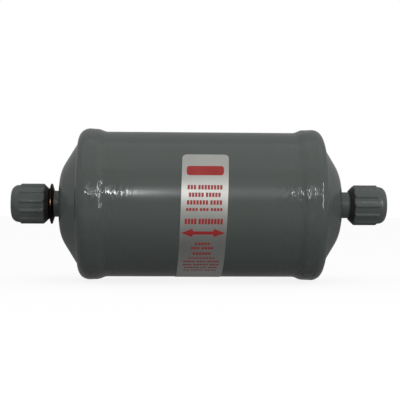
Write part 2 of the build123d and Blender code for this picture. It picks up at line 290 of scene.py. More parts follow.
def surface_group():
    """Node group that puts out a broad mottle, a fine grain and rare specks on a surface."""
    group = bpy.data.node_groups.new("surface_detail", "ShaderNodeTree")
    sockets = group.interface
    for name, value in (("Mottle Size", 20 * MM), ("Grain Size", 1 * MM), ("Speck Size", 3 * MM)):
        socket = sockets.new_socket(name, in_out="INPUT", socket_type="NodeSocketFloat")
        socket.default_value = value
    stretch = sockets.new_socket("Stretch", in_out="INPUT", socket_type="NodeSocketVector")
    stretch.default_value = (1, 1, 1)
    for name in ("Mottle", "Grain", "Speck"):
        sockets.new_socket(name, in_out="OUTPUT", socket_type="NodeSocketFloat")
    source = group.nodes.new("NodeGroupInput")
    target = group.nodes.new("NodeGroupOutput")
    place = group.nodes.new("ShaderNodeTexCoord")
    scaled = group.nodes.new("ShaderNodeVectorMath")
    scaled.operation = "MULTIPLY"
    link(group, place, "Object", scaled, 0)
    link(group, source, "Stretch", scaled, 1)
    for name, detail in (("Mottle", 3.0), ("Grain", 1.5)):
        noise = group.nodes.new("ShaderNodeTexNoise")
        noise.inputs["Detail"].default_value = detail
        link(group, scaled, "Vector", noise, "Vector")
        feed(group, maths(group, "DIVIDE", 1, (source, f"{name} Size")), noise, "Scale")
        link(group, noise, "Fac", target, name)
    cells = group.nodes.new("ShaderNodeTexVoronoi")
    link(group, place, "Object", cells, "Vector")
    feed(group, maths(group, "DIVIDE", 1, (source, "Speck Size")), cells, "Scale")
    feed(group, step_up(group, (cells, "Distance"), *SPECK_EDGE, "LINEAR"), target, "Speck")
    return group


SURFACE_DETAIL = surface_group()


def surface_material(name, tones, gloss, mottle, grain, bump, metallic=0.0):
    """Principled material whose tone and gloss drift with the mottle, with the grain as bump."""
    material = bpy.data.materials.new(name)
    material.use_nodes = True
    tree = material.node_tree
    shader = tree.nodes["Principled BSDF"]
    shader.inputs["Metallic"].default_value = metallic
    detail = tree.nodes.new("ShaderNodeGroup")
    detail.name = "detail"
    detail.node_tree = SURFACE_DETAIL
    detail.inputs["Mottle Size"].default_value = mottle
    detail.inputs["Grain Size"].default_value = grain
    tone = colour_mix(tree, (detail, "Mottle"), *tones)
    tone[0].name = "tone"
    roughness = step_up(tree, (detail, "Mottle"), *MOTTLE_RANGE, "LINEAR")
    roughness[0].name = "gloss"
    roughness[0].inputs["To Min"].default_value = gloss[0]
    roughness[0].inputs["To Max"].default_value = gloss[1]
    relief = tree.nodes.new("ShaderNodeBump")
    relief.name = "relief"
    relief.inputs["Strength"].default_value = 1.0
    relief.inputs["Distance"].default_value = bump
    feed(tree, tone, shader, "Base Color")
    feed(tree, roughness, shader, "Roughness")
    link(tree, detail, "Grain", relief, "Height")
    link(tree, relief, "Normal", shader, "Normal")
    return material


def add_specks(material, colour):
    """Mixes pale dust specks into a material's tone."""
    tree = material.node_tree
    specked = colour_mix(tree, (tree.nodes["detail"], "Speck"), (tree.nodes["tone"], 2), colour)
    feed(tree, specked, tree.nodes["Principled BSDF"], "Base Color")


def add_heat_ripple(material):
    """Fine ripples in the paint by the two seams, where the welds warmed it, and more shine
    there and on the domes."""
    tree = material.node_tree
    place = tree.nodes.new("ShaderNodeTexCoord")
    noise = tree.nodes.new("ShaderNodeTexNoise")
    noise.inputs["Scale"].default_value = 1 / HEAT_RIPPLE_SIZE
    noise.inputs["Detail"].default_value = 1.0
    drawn_out = tree.nodes.new("ShaderNodeVectorMath")
    drawn_out.operation = "MULTIPLY_ADD"
    drawn_out.inputs[1].default_value = (1, HEAT_RIPPLE_ROUND, HEAT_RIPPLE_ROUND)
    drawn_out.inputs[2].default_value = HEAT_RIPPLE_SHIFT
    link(tree, place, "Object", drawn_out, 0)
    link(tree, drawn_out, "Vector", noise, "Vector")
    distance = maths(tree, "ABSOLUTE", place_axes(tree)[0])
    near = step_up(tree, distance, HEAT_RIPPLE_START, HEAT_RIPPLE_FULL)
    calm = step_up(tree, distance, DOME_CALM_FULL, DOME_CALM_START)
    strength = maths(tree, "MULTIPLY", near, calm)
    wave = maths(tree, "SUBTRACT", (noise, 0), 0.5)
    height = maths(tree, "MULTIPLY", wave, strength)
    ripple = tree.nodes.new("ShaderNodeBump")
    ripple.inputs["Strength"].default_value = 1.0
    ripple.inputs["Distance"].default_value = HEAT_RIPPLE_HEIGHT
    feed(tree, height, ripple, "Height")
    link(tree, ripple, "Normal", tree.nodes["relief"], "Normal")
    polished = maths(tree, "MULTIPLY_ADD", near, -SEAM_SHINE, 1.0)
    roughness = maths(tree, "MULTIPLY", (tree.nodes["gloss"], "Result"), polished)
    feed(tree, roughness, tree.nodes["Principled BSDF"], "Roughness")


shell_paint = surface_material(
    "shell_paint", PAINT_TONES, PAINT_GLOSS, mottle=30 * MM, grain=1.6 * MM, bump=0.006 * MM
)
add_specks(shell_paint, PAINT_SPECK)
add_heat_ripple(shell_paint)


def rounded(corners, step=0.6 * MM, turn=6.0):
    """Closed outline through corners (x, r, radius): arcs at the corners, short steps between."""
    points = []
    count = len(corners)
    for i, (x, r, radius) in enumerate(corners):
        before, after = corners[i - 1], corners[(i + 1) % count]
        to_before = Vector((before[0] - x, before[1] - r)).normalized()
        to_after = Vector((after[0] - x, after[1] - r)).normalized()
        if radius <= 0:
            points.append(Vector((x, r)))
            continue
        bend = pi - to_before.angle(to_after)
        reach = radius * tan(bend / 2)
        start = Vector((x, r)) + to_before * reach
        end = Vector((x, r)) + to_after * reach
        middle = (to_before + to_after).normalized()
        centre = Vector((x, r)) + middle * (radius / cos(bend / 2))
        steps = max(2, int(bend / radians(turn)) + 1)
        for k in range(steps + 1):
            share = k / steps
            spoke = (start - centre).slerp(end - centre, share)
            points.append(centre + spoke.normalized() * radius)
    outline = []
    for i, point in enumerate(points):
        following = points[(i + 1) % len(points)]
        pieces = max(1, int((following - point).length / step))
        outline += [tuple(point.lerp(following, k / pieces)) for k in range(pieces)]
    return outline


def finish_mesh(name, mesh, body, nodes, material):
    """Makes a smooth-shaded object with sharp creases, and ties it to the frame."""
    bmesh.ops.remove_doubles(mesh, verts=mesh.verts, dist=TINY)
    bmesh.ops.recalc_face_normals(mesh, faces=mesh.faces)
    data = bpy.data.meshes.new(name)
    mesh.to_mesh(data)
    mesh.free()
    data.shade_smooth()
    data.set_sharp_from_angle(angle=CREASE_ANGLE)
    piece = bpy.data.objects.new(name, data)
    bpy.context.scene.collection.objects.link(piece)
    data.materials.append(material)
    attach(piece, body)
    if nodes:
        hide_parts(*nodes)
    return piece


def turned(name, side, outline, body, nodes, material, segments=SHELL_SEGMENTS):
    """Turns a closed outline of (outward distance, radius) points round the shell's axis."""
    mesh = bmesh.new()
    angles = [2 * pi * k / segments for k in range(segments)]
    rings = []
    for x, r in outline:
        if r < TINY:
            rings.append([mesh.verts.new((side * x, 0, 0))] * segments)
        else:
            rings.append([mesh.verts.new((side * x, -r * cos(a), r * sin(a))) for a in angles])
    for i, ring in enumerate(rings):
        following = rings[(i + 1) % len(rings)]
        for k in range(segments):
            corners = (ring[k], ring[k - 1], following[k - 1], following[k])
            face = list(dict.fromkeys(corners))
            if len(face) > 2:
                mesh.faces.new(face)
    return finish_mesh(name, mesh, body, nodes, material)


tube_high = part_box("shell_tube")[1]
shell_radius = tube_high.z
shell_end = tube_high.x
tube_outline = rounded(
    [
        (-shell_end, shell_radius, 0),
        (shell_end, shell_radius, 0),
        (shell_end, shell_radius - SHELL_WALL, 0),
        (-shell_end, shell_radius - SHELL_WALL, 0),
    ],
    step=12 * MM,
)
turned("shell", 1, tube_outline, "root", ["shell_tube"], shell_paint)

# End caps: drawn steel cups pushed over the tube. The skirt and the round shoulder carry slow
# ripples under the paint, left by the seam weld, and a shallow dome rises inside the shoulder.
CAP_WALL = 2.0 * MM
CAP_CORNER = {-1: 6.2 * MM, 1: 5.2 * MM}
CAP_SLIP = 0.1 * MM
SKIRT_TAPER = 0.6 * MM
CREASE_DEPTH = 7.6 * MM
DOME_ANGLE = radians(32)
DOME_KNUCKLE = 20.0 * MM
DOME_FLAT = 11.0 * MM
CREASE_ROUND = 2.6 * MM
NECK_RADIUS = 6.9 * MM
NECK_GAP = 0.05 * MM
RIPPLE_HEIGHT = 0.34 * MM
RIPPLE_SIZE = 4.2 * MM
RIPPLE_STRETCH = 1.3
RIPPLE_LEVEL = 0.8
RIPPLE_FADE = 2 * MM
RIPPLE_SKIN = 1 * MM
RIPPLE_BEFORE_SKIRT = 5 * MM
RIPPLE_ON_SKIRT = 12 * MM
RIPPLE_PAST_SHOULDER = 1.5 * MM
RIPPLE_OFF_TUBE = 0.3 * MM


def outward(node, side):
    """Nearest and farthest distance of a CAD node from the shell's middle, along its end."""
    low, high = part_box(node)
    return (low.x, high.x) if side > 0 else (-high.x, -low.x)


def geometry_tree(name, inputs):
    """Geometry Nodes tree with named inputs, its group nodes, and the closing nodes linked."""
    tree = bpy.data.node_groups.new(name, "GeometryNodeTree")
    tree.interface.new_socket("Geometry", in_out="INPUT", socket_type="NodeSocketGeometry")
    for socket, kind in inputs:
        tree.interface.new_socket(socket, in_out="INPUT", socket_type=f"NodeSocket{kind}")
    tree.interface.new_socket("Geometry", in_out="OUTPUT", socket_type="NodeSocketGeometry")
    source = tree.nodes.new("NodeGroupInput")
    target = tree.nodes.new("NodeGroupOutput")
    realize = tree.nodes.new("GeometryNodeRealizeInstances")
    finish = tree.nodes.new("GeometryNodeSetMaterial")
    link(tree, realize, "Geometry", finish, "Geometry")
    link(tree, source, "Material", finish, "Material")
    link(tree, finish, "Geometry", target, "Geometry")
    return tree, source, realize


def position_parts(tree):
    """Outward distance, radius and the three coordinates of each point, as (node, output)."""
    place = tree.nodes.new("GeometryNodeInputPosition")
    split = tree.nodes.new("ShaderNodeSeparateXYZ")
    link(tree, place, "Position", split, "Vector")
    x, y, z = (split, "X"), (split, "Y"), (split, "Z")
    return maths(tree, "ABSOLUTE", x), off_axis(tree, y, z), (x, y, z)


def move_out(tree, source, amount, along):
    """Set Position node that moves each point by an amount along a vector."""
    scaled = tree.nodes.new("ShaderNodeVectorMath")
    scaled.operation = "SCALE"
    feed(tree, along, scaled, 0)
    feed(tree, amount, scaled, "Scale")
    move = tree.nodes.new("GeometryNodeSetPosition")
    link(tree, source, "Geometry", move, "Geometry")
    link(tree, scaled, "Vector", move, "Offset")
    return move


def away_from_axis(tree, axes):
    """Unit vector square to the shell's axis."""
    across = tree.nodes.new("ShaderNodeCombineXYZ")
    feed(tree, axes[1], across, "Y")
    feed(tree, axes[2], across, "Z")
    unit = tree.nodes.new("ShaderNodeVectorMath")
    unit.operation = "NORMALIZE"
    link(tree, across, "Vector", unit, 0)
    return (unit, "Vector")


def ripple_tree():
    """Sinks the outside of a turned piece in slow ripples, between two outward distances."""
    inputs = [(name, "Float") for name in ("Height", "Size", "Stretch", "From", "To", "Inside")]
    tree, source, realize = geometry_tree("weld_ripple", inputs + [("Material", "Material")])
    distance, radius, axes = position_parts(tree)
    stretched = tree.nodes.new("ShaderNodeCombineXYZ")
    feed(tree, maths(tree, "MULTIPLY", axes[0], (source, "Stretch")), stretched, "X")
    feed(tree, axes[1], stretched, "Y")
    feed(tree, axes[2], stretched, "Z")
    noise = tree.nodes.new("ShaderNodeTexNoise")
    noise.inputs["Detail"].default_value = 1.0
    link(tree, stretched, "Vector", noise, "Vector")
    feed(tree, maths(tree, "DIVIDE", 1.0, (source, "Size")), noise, "Scale")
    wave = maths(tree, "SUBTRACT", (noise, 0), RIPPLE_LEVEL)
    start, end, inside = (source, "From"), (source, "To"), (source, "Inside")
    near = step_up(tree, distance, start, maths(tree, "ADD", start, RIPPLE_FADE))
    far = step_up(tree, distance, end, maths(tree, "SUBTRACT", end, RIPPLE_FADE))
    outside = step_up(tree, radius, inside, maths(tree, "ADD", inside, RIPPLE_SKIN))
    mask = maths(tree, "MULTIPLY", maths(tree, "MULTIPLY", near, far), outside)
    amount = maths(tree, "MULTIPLY", maths(tree, "MULTIPLY", wave, mask), (source, "Height"))
    move = move_out(tree, source, amount, away_from_axis(tree, axes))
    link(tree, move, "Geometry", realize, "Geometry")
    return tree


def run_tree(piece, tree, values):
    """Runs a Geometry Nodes tree on a piece and keeps the result as its plain mesh."""
    modifier = piece.modifiers.new(tree.name, "NODES")
    modifier.node_group = tree
    sockets = {
        item.name: item.identifier for item in tree.interface.items_tree if item.in_out == "INPUT"
    }
    for name, value in values.items():
        modifier[sockets[name]] = value
    graph = bpy.context.evaluated_depsgraph_get()
    result = bpy.data.meshes.new_from_object(piece.evaluated_get(graph))
    piece.modifiers.clear()
    piece.data = result


RIPPLE_TREE = ripple_tree()


def add_weld_ripple(piece, start, end, inside):
    """Ripples the outside of a painted piece between two outward distances."""
    values = {"Height": RIPPLE_HEIGHT, "Size": RIPPLE_SIZE, "Stretch": RIPPLE_STRETCH}
    values |= {"From": start, "To": end, "Inside": inside, "Material": shell_paint}
    run_tree(piece, RIPPLE_TREE, values)


skirt_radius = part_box("right_end_cap")[1].z
crease_radius = skirt_radius - CREASE_DEPTH
for side, end in ENDS:
    skirt_edge, apex = outward(f"{end}_end_cap", side)
    cone_height = (crease_radius - DOME_FLAT - DOME_KNUCKLE * sin(DOME_ANGLE)) * tan(DOME_ANGLE)
    shoulder = apex - DOME_KNUCKLE * (1 - cos(DOME_ANGLE)) - cone_height
    flat_corner = crease_radius - (apex - shoulder) / tan(DOME_ANGLE)
    inset = CAP_WALL * tan(DOME_ANGLE / 2)
    hole = NECK_RADIUS + NECK_GAP
    cap_outline = rounded(
        [
            (apex, hole, 0),
            (apex, flat_corner, DOME_KNUCKLE),
            (shoulder, crease_radius, CREASE_ROUND),
            (shoulder, skirt_radius, CAP_CORNER[side]),
            (skirt_edge, skirt_radius - SKIRT_TAPER, 0),
            (skirt_edge, shell_radius + CAP_SLIP, 0),
            (shoulder - CAP_WALL, shell_radius + CAP_SLIP, CAP_CORNER[side] - CAP_WALL),
            (shoulder - CAP_WALL, crease_radius - inset, 0),
            (apex - CAP_WALL, flat_corner - inset, DOME_KNUCKLE - CAP_WALL),
            (apex - CAP_WALL, hole, 0),
        ],
        step=0.55 * MM,
    )
    end_cap = turned(
        f"{end}_cap_shell", side, cap_outline, "root", [f"{end}_end_cap"], shell_paint
    )
    add_weld_ripple(
        end_cap,
        skirt_edge - RIPPLE_BEFORE_SKIRT,
        shoulder + RIPPLE_PAST_SHOULDER,
        shell_radius + RIPPLE_OFF_TUBE,
    )

# Weld beads: one round pass of weld that joins each skirt to the tube, painted over. It runs out
# smoothly on the tube, and its frozen waves carry on those of the skirt.
BEAD_STEPS = 14
TAPER_END_TO_APEX = 14.4 * MM

for side, end in ENDS:
    toe, skirt_edge = outward(f"{end}_weld_bead", side)
    rise = skirt_radius - SKIRT_TAPER - shell_radius
    taper_length = outward(f"{end}_end_cap", side)[1] - skirt_edge - TAPER_END_TO_APEX
    skirt_slope = SKIRT_TAPER / taper_length
    slope = skirt_slope * (skirt_edge - toe) / rise
    shares = [k / BEAD_STEPS for k in range(BEAD_STEPS + 1)]
    bead_outline = [
        (toe + (skirt_edge - toe) * t, shell_radius + rise * ((3 - slope) * t**2 + (slope - 2) * t**3))
        for t in shares
    ] + [(skirt_edge, shell_radius)]
    bead = turned(
        f"{end}_bead", side, bead_outline, "root", [f"{end}_weld_bead"], shell_paint
    )
    add_weld_ripple(bead, toe, skirt_edge + RIPPLE_ON_SKIRT, shell_radius)

# Fittings: turned steel with a thin copper plating, each brazed into its dome with a small
# fillet. What stands clear of the seal cap was painted with the shell. Under the cap the neck is
# bare copper, and its socket takes the line's tube.
SOCKET_RADIUS = 4.79 * MM
SOCKET_DEPTH = 10.0 * MM
THROUGH_RADIUS = 3.75 * MM
FITTING_EDGE = 0.4 * MM
COLLAR_WIDTH = 2.1 * MM
COLLAR_THICKNESS = 1.5 * MM
BRAZE_LEG = 0.8 * MM
NECK_SEGMENTS = 128
PAINT_CREEP = 0.9 * MM
PAINT_EDGE_FADE = 0.1 * MM
PAINT_EDGE_WANDER = 0.5 * MM
COPPER_TONES = ((0.36, 0.15, 0.075), (0.52, 0.24, 0.13))
COPPER_GLOSS = (0.22, 0.42)

copper_plate = surface_material(
    "copper_plate", COPPER_TONES, COPPER_GLOSS, mottle=4 * MM, grain=0.25 * MM, bump=0.003 * MM,
    metallic=1.0,
)


def half_painted(name, edge):
    """Copper whose part nearer than an outward distance is covered with the shell's paint."""
    material = copper_plate.copy()
    material.name = name
    tree = material.node_tree
    shader = tree.nodes["Principled BSDF"]
    wander = maths(tree, "MULTIPLY", (tree.nodes["detail"], "Mottle"), PAINT_EDGE_WANDER)
    distance = maths(tree, "ADD", maths(tree, "ABSOLUTE", place_axes(tree)[0]), wander)
    bare = step_up(tree, distance, edge, edge + PAINT_EDGE_FADE)
    coat = colour_mix(tree, bare, PAINT_TONES[0], (tree.nodes["tone"], 2))
    feed(tree, coat, shader, "Base Color")
    feed(tree, bare, shader, "Metallic")
    return material


for side, end in ENDS:
    inner_end, fitting_end = outward(f"{end}_fitting", side)
    apex = outward(f"{end}_end_cap", side)[1]
    cap_mouth = outward(f"{end}_seal_cap", side)[0]
    fitting_outline = rounded(
        [
            (inner_end, THROUGH_RADIUS, 0),
            (inner_end, NECK_RADIUS + COLLAR_WIDTH, 0),
            (inner_end + COLLAR_THICKNESS, NECK_RADIUS + COLLAR_WIDTH, 0),
            (inner_end + COLLAR_THICKNESS, NECK_RADIUS, 0),
            (fitting_end, NECK_RADIUS, FITTING_EDGE),
            (fitting_end, SOCKET_RADIUS, FITTING_EDGE),
            (fitting_end - SOCKET_DEPTH, SOCKET_RADIUS, 0),
            (fitting_end - SOCKET_DEPTH, THROUGH_RADIUS, 0),
        ],
        step=2 * MM,
        turn=15,
    )
    neck_paint = half_painted(f"{end}_neck_finish", cap_mouth + PAINT_CREEP)
    turned(
        f"{end}_neck", side, fitting_outline, "root", [f"{end}_fitting"],
        neck_paint, NECK_SEGMENTS,
    )
    braze_outline = [(apex, NECK_RADIUS), (apex, NECK_RADIUS + BRAZE_LEG)] + [
        (apex + BRAZE_LEG * (1 - cos(a)), NECK_RADIUS + BRAZE_LEG * (1 - sin(a)))
        for a in QUARTER_TURN[1:]
    ]
    turned(
        f"{end}_braze", side, braze_outline, "root", [f"{end}_braze_fillet"],
        shell_paint, NECK_SEGMENTS,
    )

# Ring on the left neck: a loose turned ring, copper-plated, whose rim comes to a narrow crest. Its
# copper is tinted near black, a painted dark reflection, but for one spot at the front of its crest
# where bright copper is a painted glint.
STOP_CREST = 0.7 * MM
STOP_HEIGHT = 3.65 * MM
STOP_EDGE = 0.5 * MM
STOP_EDGE_ROUND = 0.2 * MM
STOP_CREST_ROUND = 0.3 * MM
# Near-black tones: a painted dark reflection on the ring's copper. The bright copper and its spot below
# make a painted glint on the crest's front.
DARK_COPPER_TONES = ((0.012, 0.009, 0.007), (0.040, 0.024, 0.016))
GLINT_COPPER = (0.45, 0.22, 0.11)
GLINT_DEPTH = 0.35 * MM
GLINT_HEIGHT = 0.8 * MM
GLINT_REACH = 2.2 * MM

dark_copper = surface_material(
    "dark_copper", DARK_COPPER_TONES, (0.25, 0.45), mottle=3 * MM, grain=0.3 * MM,
    bump=0.004 * MM, metallic=1.0,
)
ring_near, ring_far = outward("left_stop_ring", -1)
ring_bore = NECK_RADIUS + NECK_GAP


def paint_crest_glint(material, crest_radius):
    """Painted glint: bright copper on the ring's crest, at one spot on its front."""
    tree = material.node_tree
    y, z = place_axes(tree)[1:]
    crest_band = step_up(tree, off_axis(tree, y, z), crest_radius - GLINT_DEPTH, crest_radius)
    away = maths(tree, "ABSOLUTE", maths(tree, "SUBTRACT", z, GLINT_HEIGHT))
    front = maths(tree, "LESS_THAN", y, 0.0)
    spot = maths(tree, "MULTIPLY", step_up(tree, away, GLINT_REACH, 0.0), front)
    shown = maths(tree, "MULTIPLY", crest_band, spot)
    glinted = colour_mix(tree, shown, (tree.nodes["tone"], 2), GLINT_COPPER)
    feed(tree, glinted, tree.nodes["Principled BSDF"], "Base Color")


paint_crest_glint(dark_copper, ring_bore + STOP_HEIGHT)
ring_slope = (ring_far - ring_near - STOP_CREST) / 2
ring_outline = rounded(
    [
        (ring_near, ring_bore, 0),
        (ring_near, ring_bore + STOP_EDGE, STOP_EDGE_ROUND),
        (ring_near + ring_slope, ring_bore + STOP_HEIGHT, STOP_CREST_ROUND),
        (ring_far - ring_slope, ring_bore + STOP_HEIGHT, STOP_CREST_ROUND),
        (ring_far, ring_bore + STOP_EDGE, STOP_EDGE_ROUND),
        (ring_far, ring_bore, 0),
    ]
)
turned(
    "left_ring", -1, ring_outline, "root", ["left_stop_ring"], dark_copper,
    NECK_SEGMENTS,
)

# Seal caps: moulded black plastic, pushed over the necks before the shell was sprayed, so that
# paint covers all but the sloped mouth. Twelve low ribs give the fingers a grip to pull by.
RIB_COUNT = 12
RIB_HEIGHT = 0.8 * MM
RIB_WIDTH = 2.0 * MM
RIB_FLANK = (0.62, 0.12)
RIB_END_GAP = 4.3 * MM
RIB_BEVEL = 0.8 * MM
CAP_CORE_RADIUS = 9.8 * MM
CAP_NOSE = 3.9 * MM
CAP_LIP = 1.0 * MM
CAP_CHAMFER = 2.7 * MM
CAP_END_WALL = 2.3 * MM
CAP_BORE_GAP = 0.07 * MM
CAP_SKIN = 0.2 * MM
CAP_SIDE_WALL = 2 * MM
BARE_SHARE = 0.8
RIB_ELEVATION = {-1: radians(7.5), 1: radians(-2.5)}
CAP_SEGMENTS = RIB_COUNT * 24
CAP_PAINT_TONES = ((0.062, 0.073, 0.068), (0.078, 0.090, 0.085))
CAP_PAINT_STRETCH = (1, 0.4, 0.4)
CAP_PLASTIC_TONES = ((0.018, 0.019, 0.018), (0.030, 0.031, 0.030))

cap_paint = surface_material(
    "cap_paint", CAP_PAINT_TONES, (0.16, 0.22), mottle=6 * MM, grain=1.2 * MM, bump=0.12 * MM
)
cap_paint.node_tree.nodes["detail"].inputs["Stretch"].default_value = CAP_PAINT_STRETCH
cap_plastic = surface_material(
    "cap_plastic", CAP_PLASTIC_TONES, (0.4, 0.55), mottle=5 * MM, grain=0.3 * MM, bump=0.006 * MM
)


def rib_tree():
    """Raises half-round ribs on the outside of a turned cap, from its mouth to near its nose, and
    leaves its mouth and its bore unpainted."""
    inputs = ["Rib Count", "Rib Height", "Rib Width", "Rib Turn", "Mouth", "Slope End"]
    inputs += ["Rib End", "Bevel", "Core Radius", "Paint Edge", "Bore End"]
    sockets = [(name, "Float") for name in inputs] + [("Bare Material", "Material")]
    tree, source, realize = geometry_tree("ribbed_cap", sockets + [("Material", "Material")])
    distance, radius, axes = position_parts(tree)
    core, rib_end = (source, "Core Radius"), (source, "Rib End")
    angle = maths(tree, "ARCTAN2", axes[2], maths(tree, "MULTIPLY", axes[1], -1.0))
    turns = maths(tree, "DIVIDE", maths(tree, "SUBTRACT", angle, (source, "Rib Turn")), 2 * pi)
    pitch = maths(tree, "MULTIPLY", turns, (source, "Rib Count"))
    off_centre = maths(tree, "ABSOLUTE", maths(tree, "SUBTRACT", pitch, maths(tree, "ROUND", pitch)))
    arc = maths(tree, "DIVIDE", maths(tree, "MULTIPLY", off_centre, 2 * pi), (source, "Rib Count"))
    aside = maths(tree, "DIVIDE", maths(tree, "MULTIPLY", arc, radius), (source, "Rib Width"))
    crown = step_up(tree, aside, *RIB_FLANK)
    ending = step_up(tree, distance, rib_end, maths(tree, "SUBTRACT", rib_end, (source, "Bevel")))
    outside = step_up(tree, radius, maths(tree, "SUBTRACT", core, CAP_SKIN), core)
    raised = maths(tree, "MULTIPLY", maths(tree, "MULTIPLY", crown, ending), outside)
    height = maths(tree, "MULTIPLY", raised, (source, "Rib Height"))
    slope = step_up(tree, distance, (source, "Mouth"), (source, "Slope End"), "LINEAR")
    link(tree, source, "Rib Height", slope[0], "To Max")
    limited = maths(tree, "MINIMUM", height, slope)
    move = move_out(tree, source, limited, away_from_axis(tree, axes))
    link(tree, move, "Geometry", realize, "Geometry")
    finish = next(n for n in tree.nodes if n.bl_idname == "GeometryNodeSetMaterial")
    output = next(n for n in tree.nodes if n.bl_idname == "NodeGroupOutput")
    bare = tree.nodes.new("GeometryNodeSetMaterial")
    near = maths(tree, "LESS_THAN", distance, (source, "Paint Edge"))
    narrow = maths(tree, "LESS_THAN", radius, maths(tree, "SUBTRACT", core, CAP_SIDE_WALL))
    deep = maths(tree, "LESS_THAN", distance, (source, "Bore End"))
    chosen = maths(tree, "MAXIMUM", near, maths(tree, "MULTIPLY", narrow, deep))
    link(tree, finish, "Geometry", bare, "Geometry")
    feed(tree, chosen, bare, "Selection")
    link(tree, source, "Bare Material", bare, "Material")
    link(tree, bare, "Geometry", output, "Geometry")
    return tree


RIB_TREE = rib_tree()
for side, end in ENDS:
    mouth, tip = outward(f"{end}_seal_cap", side)
    bore = NECK_RADIUS + CAP_BORE_GAP
    slope = (RIB_HEIGHT + CAP_CORE_RADIUS - bore - CAP_LIP) / CAP_CHAMFER
    core_start = mouth + (CAP_CORE_RADIUS - bore - CAP_LIP) / slope
    cap_outline = rounded(
        [
            (tip, 0, 0),
            (tip, CAP_CORE_RADIUS, CAP_NOSE),
            (core_start, CAP_CORE_RADIUS, 0),
            (mouth, bore + CAP_LIP, 0),
            (mouth, bore, 0),
            (tip - CAP_END_WALL, bore, 0),
            (tip - CAP_END_WALL, 0, 0),
        ],
        step=0.4 * MM,
    )
    seal_cap = turned(
        f"{end}_ribbed_cap", side, cap_outline, f"{end}_cap", [f"{end}_seal_cap"],
        cap_paint, CAP_SEGMENTS,
    )
    run_tree(
        seal_cap,
        RIB_TREE,
        {
            "Rib Count": float(RIB_COUNT),
            "Rib Height": RIB_HEIGHT,
            "Rib Width": RIB_WIDTH,
            "Rib Turn": RIB_ELEVATION[side],
            "Mouth": core_start,
            "Slope End": mouth + CAP_CHAMFER,
            "Rib End": tip - RIB_END_GAP,
            "Bevel": RIB_BEVEL,
            "Core Radius": CAP_CORE_RADIUS,
            "Paint Edge": mouth + BARE_SHARE * CAP_CHAMFER,
            "Bore End": tip - CAP_END_WALL / 2,
            "Bare Material": cap_plastic,
            "Material": cap_paint,
        },
    )

# Label: satin silver-grey film with round corners, held by its own thin glue. It is wrapped by
# hand from the front of the shell under it and up the back, so that it leans a little.
LABEL_WIDTH = 23.4 * MM
LABEL_LENGTH = 146.0 * MM
LABEL_GLUE = 0.05 * MM
LABEL_FILM = 0.12 * MM
LABEL_CORNER = 2.4 * MM
LABEL_TOP = radians(41.2)
LABEL_LEAN = 0.033
LABEL_CENTRE = 1.6 * MM
INK_THICKNESS = 0.02 * MM
LABEL_STEP = 1.0 * MM
FILM_TONES = ((0.54, 0.54, 0.515), (0.62, 0.62, 0.595))
INK_TONES = ((0.26, 0.012, 0.012), (0.34, 0.02, 0.018))

label_film = surface_material(
    "label_film", FILM_TONES, (0.40, 0.46), mottle=15 * MM, grain=0.5 * MM, bump=0.002 * MM,
    metallic=1.0,
)
red_ink = surface_material(
    "red_ink", INK_TONES, (0.35, 0.5), mottle=4 * MM, grain=0.3 * MM, bump=0.002 * MM
)


def wrap_tree():
    """Wraps a flat layout (x along the shell, y down the label, z off the steel) round the shell."""
    inputs = [(name, "Float") for name in ("Shell Radius", "Top", "Lean", "Centre")]
    tree, source, realize = geometry_tree("wrap_round_shell", inputs + [("Material", "Material")])
    axes = position_parts(tree)[2]
    radius = maths(tree, "ADD", axes[2], (source, "Shell Radius"))
    turn = maths(tree, "DIVIDE", axes[1], (source, "Shell Radius"))
    angle = maths(tree, "SUBTRACT", (source, "Top"), turn)
    drift = maths(tree, "MULTIPLY", axes[1], (source, "Lean"))
    along = maths(tree, "SUBTRACT", maths(tree, "ADD", axes[0], (source, "Centre")), drift)
    across = maths(tree, "MULTIPLY", maths(tree, "COSINE", angle), maths(tree, "MULTIPLY", radius, -1.0))
    up = maths(tree, "MULTIPLY", maths(tree, "SINE", angle), radius)
    joined = tree.nodes.new("ShaderNodeCombineXYZ")
    for i, value in enumerate((along, across, up)):
        feed(tree, value, joined, i)
    move = tree.nodes.new("GeometryNodeSetPosition")
    link(tree, source, "Geometry", move, "Geometry")
    link(tree, joined, "Vector", move, "Position")
    link(tree, move, "Geometry", realize, "Geometry")
    return tree


WRAP_TREE = wrap_tree()
WRAP_VALUES = {
    "Shell Radius": shell_radius,
    "Top": LABEL_TOP,
    "Lean": LABEL_LEAN,
    "Centre": LABEL_CENTRE,
}


def add_plate(mesh, stations, middle, low, high, down, across=8):
    """Thin closed plate: half a width at each station, with stations down or along the label."""
    layers = []
    for level in (low, high):
        rows = []
        for place, half in stations:
            row = []
            for k in range(across + 1):
                offset = half * (2 * k / across - 1)
                x, y = (middle[0] + offset, place) if down else (place, middle[1] + offset)
                row.append(mesh.verts.new((x, y, level)))
            rows.append(row)
        layers.append(rows)
    last = len(stations) - 1
    for i in range(last):
        for k in range(across):
            for rows in layers:
                mesh.faces.new((rows[i][k], rows[i][k + 1], rows[i + 1][k + 1], rows[i + 1][k]))
        for k in (0, across):
            mesh.faces.new((layers[0][i][k], layers[1][i][k], layers[1][i + 1][k], layers[0][i + 1][k]))
    for i in (0, last):
        for k in range(across):
            mesh.faces.new((layers[0][i][k], layers[1][i][k], layers[1][i][k + 1], layers[0][i][k + 1]))


def round_ended(start, end, half, corner, step):
    """Stations of a plate with rounded corners."""
    opening = [
        (start + corner * (1 - cos(a)), half - corner * (1 - sin(a))) for a in QUARTER_TURN
    ]
    length = end - start - 2 * corner
    count = max(1, int(length / step))
    middle = [(start + corner + length * k / count, half) for k in range(1, count)]
    closing = [(start + end - place, width) for place, width in reversed(opening)]
    return opening + middle + closing


